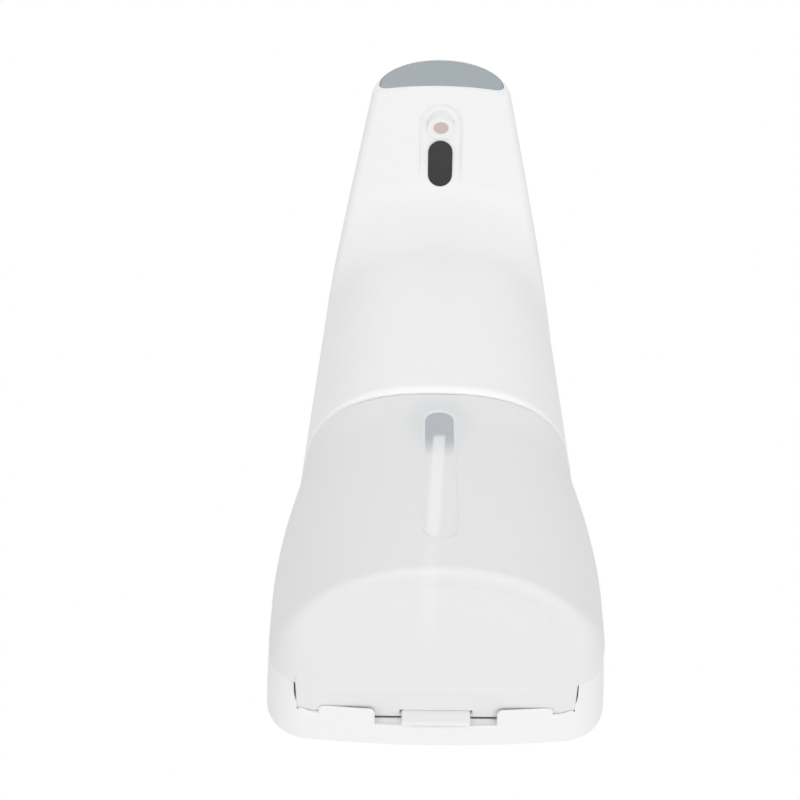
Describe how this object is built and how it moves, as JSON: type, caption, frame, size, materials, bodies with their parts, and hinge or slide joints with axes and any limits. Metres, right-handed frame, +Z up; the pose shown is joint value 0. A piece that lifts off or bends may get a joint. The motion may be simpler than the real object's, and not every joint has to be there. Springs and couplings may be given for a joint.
{
  "type": "wall mounted soap dispenser",
  "caption": "Wall mounted automatic soap dispenser: white housing with an overhanging sensor head, and a translucent tank that pulls out below.",
  "frame": {"origin": "centre of the wall plate's screw pattern, on the wall's face", "axes": "+Z up, +X to the right of a person facing the dispenser, -Y out of the wall towards that person"},
  "size_m": [0.1108, 0.108, 0.24],
  "materials": {
    "white_shell": "satin moulded ABS",
    "grey_panel": "satin tinted ABS",
    "clear_tank": "frosted translucent polypropylene",
    "black_window": "polished infrared-pass acrylic",
    "beige_silicone": "matte silicone",
    "blue_cap": "matte moulded plastic",
    "clear_tube": "natural polyethylene",
    "hose": "natural silicone hose",
    "seal": "matte rubber",
    "pump_body": "moulded acetal",
    "gear": "natural acetal",
    "steel": "plain",
    "motor": "drawn steel can",
    "board": "solder-masked fibreglass",
    "chip": "moulded epoxy",
    "battery": "plain printed sleeve, left blank",
    "inner_plastic": "matte moulded ABS",
    "button": "matte grey",
    "plate": "matte moulded ABS"
  },
  "bodies": {
    "wall": {"wall_plate": "plate"},
    "unit": {"rear_housing": "white_shell", "front_cover": "white_shell", "cover_screws": "steel", "fascia_panel": "grey_panel", "sensor_window": "black_window", "nozzle_ring": "white_shell", "nozzle_valve": "beige_silicone", "sensor_board": "board", "infrared_diodes": "chip", "battery_box": "inner_plastic", "battery_cells": "battery", "contact_plates": "steel", "contact_springs": "steel", "lid_pin": "steel", "button_spring": "steel", "button_switch": "chip", "button_board": "board", "idler_pin": "steel", "pump_housing": "pump_body", "pump_cover": "pump_body", "pump_screws": "steel", "shaft_seal": "seal", "pump_motor": "motor", "outlet_hose": "hose", "inlet_coupling": "pump_body", "coupling_seal": "seal", "main_board": "board", "board_parts": "chip", "board_screws": "steel"},
    "tank": {"tank": "clear_tank"},
    "cap": {"tank_cap": "blue_cap", "cap_seal": "seal", "dip_tube": "clear_tube", "tube_filter": "blue_cap"},
    "latch": {"tank_latch": "white_shell"},
    "lid": {"battery_lid": "white_shell"},
    "button": {"power_button": "button"},
    "pump_drive": {"motor_shaft": "steel", "drive_gear": "gear"},
    "pump_driven": {"driven_gear": "gear"}
  },
  "joints": [
    {"name": "unit_lift", "type": "slide", "parent": "wall", "child": "unit", "axis": [0, 0, 1], "range_m": [0, 0.01]},
    {"name": "tank_slide", "type": "slide", "parent": "unit", "child": "tank", "axis": [0, -1, 0], "range_m": [0, 0.095]},
    {"name": "cap_turn", "type": "hinge", "parent": "tank", "child": "cap", "pos_m": [0, -0.047, 0], "axis": [0, 0, 1], "range_deg": [0, 60]},
    {"name": "latch_press", "type": "slide", "parent": "unit", "child": "latch", "axis": [0, 0, -1], "range_m": [0, 0.0025], "stiffness_N_per_m": 600, "springref_m": -0.002},
    {"name": "lid_hinge", "type": "hinge", "parent": "unit", "child": "lid", "pos_m": [0, -0.0323, 0.10156], "axis": [-1, 0, 0], "range_deg": [0, 70]},
    {"name": "button_press", "type": "slide", "parent": "unit", "child": "button", "axis": [0, 0, -1], "range_m": [0, 0.0009], "stiffness_N_per_m": 900, "springref_m": -0.001, "deforming": ["button_spring"]},
    {"name": "pump_drive_spin", "type": "hinge", "parent": "unit", "child": "pump_drive", "pos_m": [0.005, -0.04, 0], "axis": [0, 0, 1], "continuous": true},
    {"name": "pump_driven_spin", "type": "hinge", "parent": "unit", "child": "pump_driven", "pos_m": [-0.005, -0.04, 0], "axis": [0, 0, 1], "continuous": true}
  ],
  "couplings": [
    {"joint": "pump_driven_spin", "follows": "pump_drive_spin", "ratio": -1}
  ]
}
